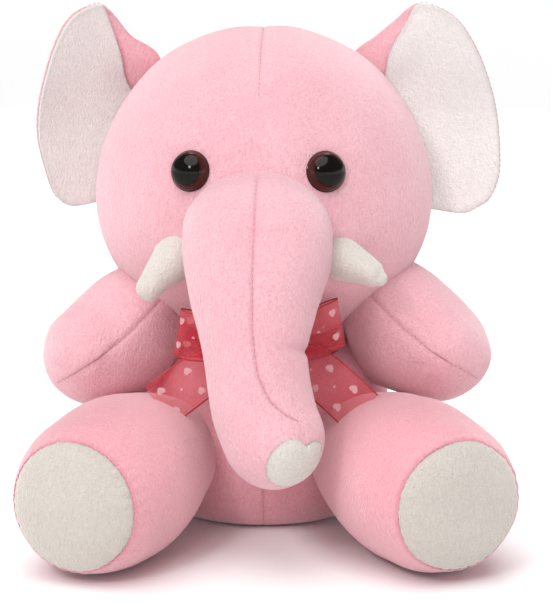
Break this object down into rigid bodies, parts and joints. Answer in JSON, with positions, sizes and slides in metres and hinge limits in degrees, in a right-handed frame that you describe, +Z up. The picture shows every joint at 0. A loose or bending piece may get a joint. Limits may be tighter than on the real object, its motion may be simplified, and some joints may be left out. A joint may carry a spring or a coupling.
{
  "type": "stuffed elephant",
  "caption": "Seated plush elephant in pink pile fabric with white ear linings, tusks and soles, glossy eyes, a hanging trunk and a red ribbon bow.",
  "frame": {"origin": "middle of the flat seat, on the floor", "axes": "+Z up through the head, -Y the way the toy faces, +X the toy's own left"},
  "size_m": [0.2472, 0.238, 0.2735],
  "materials": {
    "plush_pink": "matte",
    "plush_white": "matte",
    "stuffing": "matte",
    "ribbon": "satin",
    "eye_plastic": "gloss",
    "washer_plastic": "matte"
  },
  "bodies": {
    "torso": {"torso_skin": "plush_pink", "torso_stuffing": "stuffing", "bow_neckband": "ribbon", "bow_knot": "ribbon", "bow_loop_left": "ribbon", "bow_loop_right": "ribbon", "bow_tail_left": "ribbon", "bow_tail_right": "ribbon"},
    "neck": {"neck_stuffing": "stuffing"},
    "head": {"head_skin": "plush_pink", "head_stuffing": "stuffing", "eye_left": "eye_plastic", "eye_right": "eye_plastic", "eye_washer_left": "washer_plastic", "eye_washer_right": "washer_plastic", "tusk_left_skin": "plush_white", "tusk_left_stuffing": "stuffing", "tusk_right_skin": "plush_white", "tusk_right_stuffing": "stuffing"},
    "trunk": {"trunk_upper_skin": "plush_pink", "trunk_upper_stuffing": "stuffing"},
    "trunk_end": {"trunk_lower_skin": "plush_pink", "trunk_lower_stuffing": "stuffing", "trunk_tip": "plush_white"},
    "ear_left": {"ear_left_front": "plush_white", "ear_left_back": "plush_pink"},
    "arm_left": {"arm_left_skin": "plush_pink", "arm_left_stuffing": "stuffing"},
    "leg_left": {"leg_left_skin": "plush_pink", "leg_left_sole": "plush_white", "leg_left_stuffing": "stuffing"},
    "ear_right": {"ear_right_front": "plush_white", "ear_right_back": "plush_pink"},
    "arm_right": {"arm_right_skin": "plush_pink", "arm_right_stuffing": "stuffing"},
    "leg_right": {"leg_right_skin": "plush_pink", "leg_right_sole": "plush_white", "leg_right_stuffing": "stuffing"},
    "tail": {"tail_skin": "plush_pink", "tail_stuffing": "stuffing"}
  },
  "joints": [
    {"name": "head_turn", "type": "hinge", "parent": "torso", "child": "neck", "pos_m": [0, 0, 0.1], "axis": [0, 0, 1], "range_deg": [-8, 6], "stiffness_Nm_per_rad": 0.5},
    {"name": "head_nod", "type": "hinge", "parent": "neck", "child": "head", "pos_m": [0, 0, 0.1], "axis": [1, 0, 0], "range_deg": [-4, 3.5], "stiffness_Nm_per_rad": 1.2},
    {"name": "trunk_lift", "type": "hinge", "parent": "head", "child": "trunk", "pos_m": [-0.00216, -0.06196, 0.16], "axis": [-0.9994, 0.0349, 0], "range_deg": [0, 36], "stiffness_Nm_per_rad": 0.12},
    {"name": "trunk_curl", "type": "hinge", "parent": "trunk", "child": "trunk_end", "pos_m": [-0.00365, -0.10717, 0.10979], "axis": [-0.9994, 0.0349, 0], "range_deg": [-10, 38], "stiffness_Nm_per_rad": 0.05},
    {"name": "ear_left_flap", "type": "hinge", "parent": "head", "child": "ear_left", "pos_m": [0.0833, 0.0071, 0.1706], "axis": [0.3289, -0.0115, -0.9443], "range_deg": [-35, 16], "stiffness_Nm_per_rad": 0.03},
    {"name": "ear_right_flap", "type": "hinge", "parent": "head", "child": "ear_right", "pos_m": [-0.0826, 0.01289, 0.1706], "axis": [0.3289, -0.0115, 0.9443], "range_deg": [-35, 12], "stiffness_Nm_per_rad": 0.03},
    {"name": "arm_left_swing", "type": "hinge", "parent": "torso", "child": "arm_left", "pos_m": [0.058, -0.017, 0.086], "axis": [-1, 0, 0], "range_deg": [-10, 32], "stiffness_Nm_per_rad": 0.1},
    {"name": "arm_right_swing", "type": "hinge", "parent": "torso", "child": "arm_right", "pos_m": [-0.058, -0.017, 0.086], "axis": [-1, 0, 0], "range_deg": [-10, 32], "stiffness_Nm_per_rad": 0.1},
    {"name": "leg_left_splay", "type": "hinge", "parent": "torso", "child": "leg_left", "pos_m": [0.0485, -0.0432, 0.0405], "axis": [0, 0, 1], "range_deg": [-4, 16], "stiffness_Nm_per_rad": 0.3},
    {"name": "leg_right_splay", "type": "hinge", "parent": "torso", "child": "leg_right", "pos_m": [-0.0485, -0.0432, 0.0405], "axis": [0, 0, -1], "range_deg": [-4, 16], "stiffness_Nm_per_rad": 0.3},
    {"name": "tail_wag", "type": "hinge", "parent": "torso", "child": "tail", "pos_m": [0, 0.05991, 0.03], "axis": [0, 0, 1], "range_deg": [-25, 25], "stiffness_Nm_per_rad": 0.005}
  ]
}
